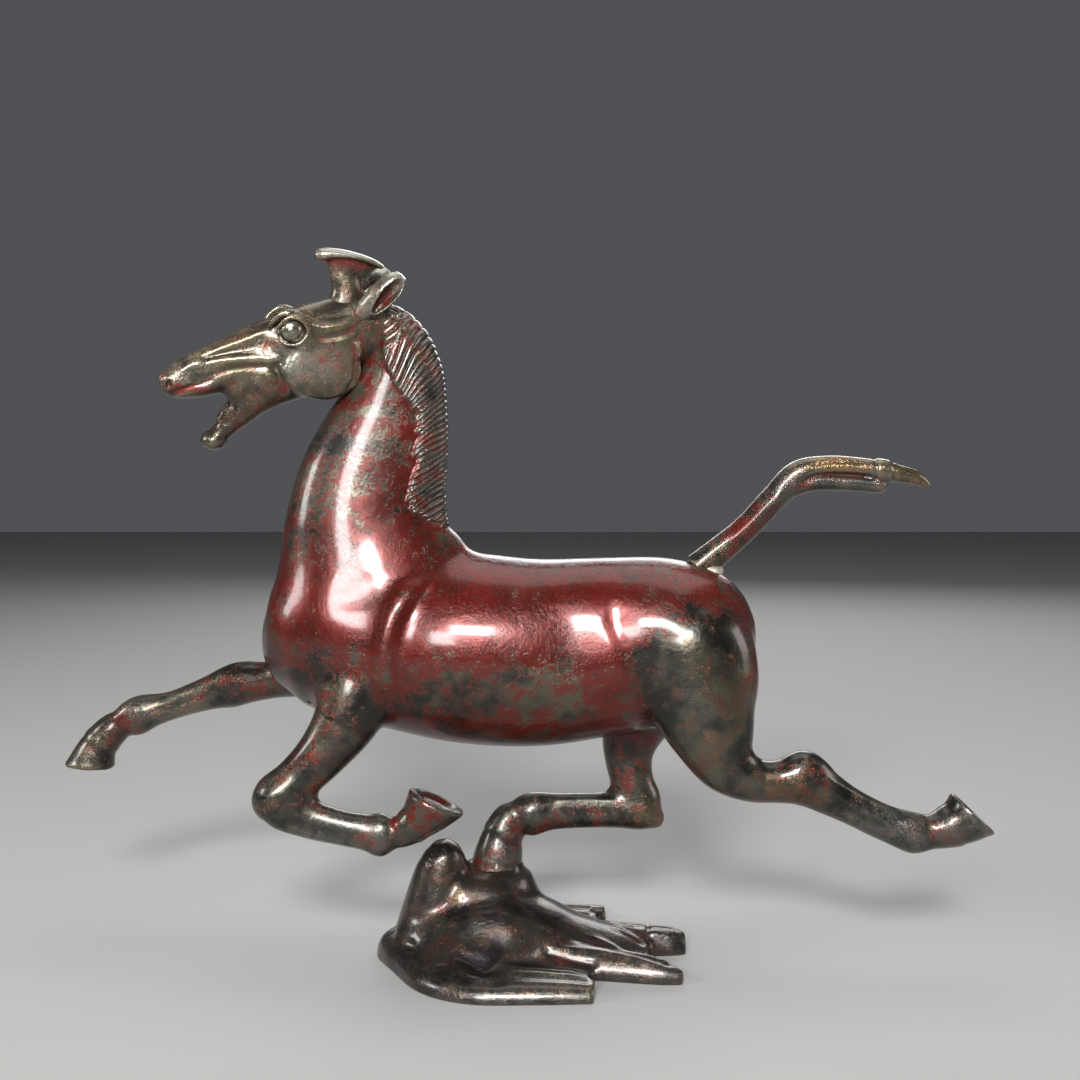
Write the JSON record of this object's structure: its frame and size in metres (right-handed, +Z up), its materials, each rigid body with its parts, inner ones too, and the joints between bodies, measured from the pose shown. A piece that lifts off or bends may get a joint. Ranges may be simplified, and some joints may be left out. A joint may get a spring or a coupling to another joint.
{
  "type": "bronze horse statue",
  "caption": "Galloping bronze horse figurine that stands on one hind hoof on the back of a flying swallow, which is its base.",
  "frame": {"origin": "on the surface the statue stands on, under the middle of its bounding box", "axes": "+Z up, +X from the muzzle towards the trailing hoof, so the horse runs towards -X, +Y towards the horse's right side"},
  "size_m": [0.3, 0.077, 0.227],
  "materials": {
    "body_bronze": "worn cinnabar red lacquer patina over dark olive bronze, glossy",
    "head_bronze": "rubbed golden olive bronze with red left in the hollows, glossy",
    "eye_bronze": "polished dark bronze",
    "leg_bronze": "grey brown bronze with worn red, glossy",
    "tail_bronze": "red brown bronze, rubbed to grey gold on the strands",
    "solder": "dull pale hard solder",
    "swallow_bronze": "dark purple brown bronze, rubbed gold on the edges, glossy",
    "steel": "plain steel"
  },
  "bodies": {
    "root": {"body_left_half": "body_bronze", "body_right_half": "body_bronze", "head": "head_bronze", "neck_pin": "body_bronze", "left_eye": "eye_bronze", "right_eye": "eye_bronze", "left_ear": "head_bronze", "right_ear": "head_bronze", "forelock": "head_bronze", "left_fore_leg": "leg_bronze", "left_fore_pin": "leg_bronze", "right_fore_leg": "leg_bronze", "right_fore_pin": "leg_bronze", "left_hind_leg": "leg_bronze", "left_hind_pin": "leg_bronze", "right_hind_leg": "leg_bronze", "right_hind_pin": "leg_bronze", "tail": "tail_bronze", "tail_solder": "solder", "swallow": "swallow_bronze", "stud": "steel", "hoof_pin": "steel", "washer": "steel", "nut": "steel"}
  },
  "joints": []
}
